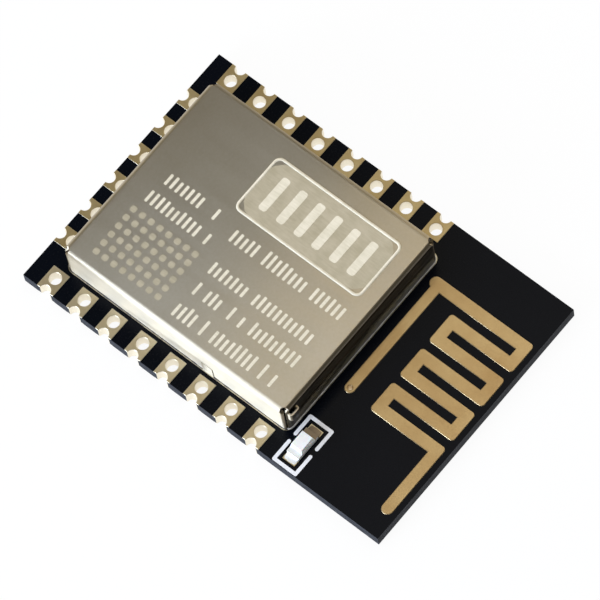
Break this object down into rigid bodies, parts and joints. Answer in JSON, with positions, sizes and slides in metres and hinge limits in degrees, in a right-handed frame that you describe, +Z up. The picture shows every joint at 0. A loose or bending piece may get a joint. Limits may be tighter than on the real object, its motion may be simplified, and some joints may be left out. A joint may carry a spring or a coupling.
{
  "type": "wifi module",
  "caption": "Small black radio board with plated edge contacts, a folded shield can, a gold meander antenna and an indicator light; it is soldered flat on a main board.",
  "frame": {"origin": "centre of the board's underside", "axes": "+Z up through the can, +Y along the board towards the antenna, +X across it towards the indicator light"},
  "size_m": [0.016, 0.024, 0.0032],
  "materials": {
    "black_mask": "satin black solder mask over glass-fibre laminate",
    "contact_gold": "thin gold plating over copper, pale and slightly green",
    "antenna_gold": "bare gold-plated copper, satin",
    "land_gold": "gold-plated copper, tinned where soldered",
    "white_ink": "screen-printed white ink",
    "light_base": "white glass-filled resin",
    "light_lens": "milky cast resin",
    "tinned_terminal": "bright tin over copper",
    "tinned_sheet": "satin tinned sheet, warm grey",
    "chip_moulding": "black epoxy moulding",
    "crystal_ceramic": "fired brown ceramic",
    "crystal_lid": "plated metal lid",
    "capacitor_ceramic": "fired brown ceramic",
    "resistor_film": "black glazed film on ceramic",
    "inductor_ceramic": "blue-grey ceramic"
  },
  "bodies": {
    "root": {"circuit_board": "black_mask", "board_contact_right_1": "contact_gold", "board_contact_right_2": "contact_gold", "board_contact_right_3": "contact_gold", "board_contact_right_4": "contact_gold", "board_contact_right_5": "contact_gold", "board_contact_right_6": "contact_gold", "board_contact_right_7": "contact_gold", "board_contact_right_8": "contact_gold", "board_contact_left_1": "contact_gold", "board_contact_left_2": "contact_gold", "board_contact_left_3": "contact_gold", "board_contact_left_4": "contact_gold", "board_contact_left_5": "contact_gold", "board_contact_left_6": "contact_gold", "board_contact_left_7": "contact_gold", "board_contact_left_8": "contact_gold", "board_contact_end_1": "contact_gold", "board_contact_end_2": "contact_gold", "board_contact_end_3": "contact_gold", "board_contact_end_4": "contact_gold", "board_contact_end_5": "contact_gold", "board_contact_end_6": "contact_gold", "antenna_trace": "antenna_gold", "ground_land": "land_gold", "part_lands": "land_gold", "light_lands": "land_gold", "light_outline": "white_ink", "light_base": "light_base", "light_lens": "light_lens", "light_terminals": "tinned_terminal", "shield_can": "tinned_sheet", "processor_chip": "chip_moulding", "processor_contacts": "tinned_terminal", "flash_chip": "chip_moulding", "flash_leads": "tinned_terminal", "crystal_base": "crystal_ceramic", "crystal_lid": "crystal_lid", "capacitor_1": "capacitor_ceramic", "capacitor_2": "capacitor_ceramic", "capacitor_3": "capacitor_ceramic", "capacitor_4": "capacitor_ceramic", "capacitor_5": "capacitor_ceramic", "capacitor_6": "capacitor_ceramic", "capacitor_7": "capacitor_ceramic", "capacitor_8": "capacitor_ceramic", "resistor_1": "resistor_film", "resistor_2": "resistor_film", "resistor_3": "resistor_film", "resistor_4": "resistor_film", "resistor_5": "resistor_film", "inductor_1": "inductor_ceramic", "inductor_2": "inductor_ceramic"}
  },
  "joints": []
}
